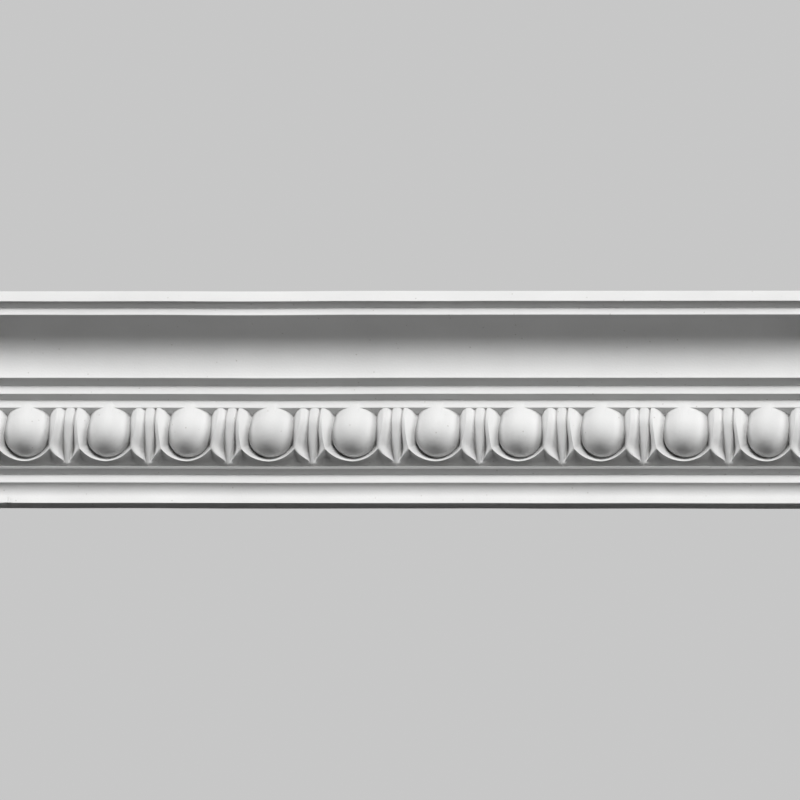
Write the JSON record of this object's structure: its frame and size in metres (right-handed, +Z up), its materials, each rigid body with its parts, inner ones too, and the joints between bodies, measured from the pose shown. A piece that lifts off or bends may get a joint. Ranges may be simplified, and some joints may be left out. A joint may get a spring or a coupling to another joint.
{
  "type": "cornice moulding length",
  "caption": "Straight length of white plaster cornice for the corner of a wall and a ceiling, with a cove above a cast band of eggs and darts.",
  "frame": {"origin": "middle of the length, at mid-height of the strip that beds on the wall", "axes": "+X along the length, +Y into the wall, +Z up to the ceiling; the moulding stands out towards -Y"},
  "size_m": [0.545, 0.0997, 0.1014],
  "materials": {
    "plaster": "matte, unpainted white cast plaster with small pinholes and soft arrises"
  },
  "bodies": {
    "root": {"cornice": "plaster"}
  },
  "joints": []
}
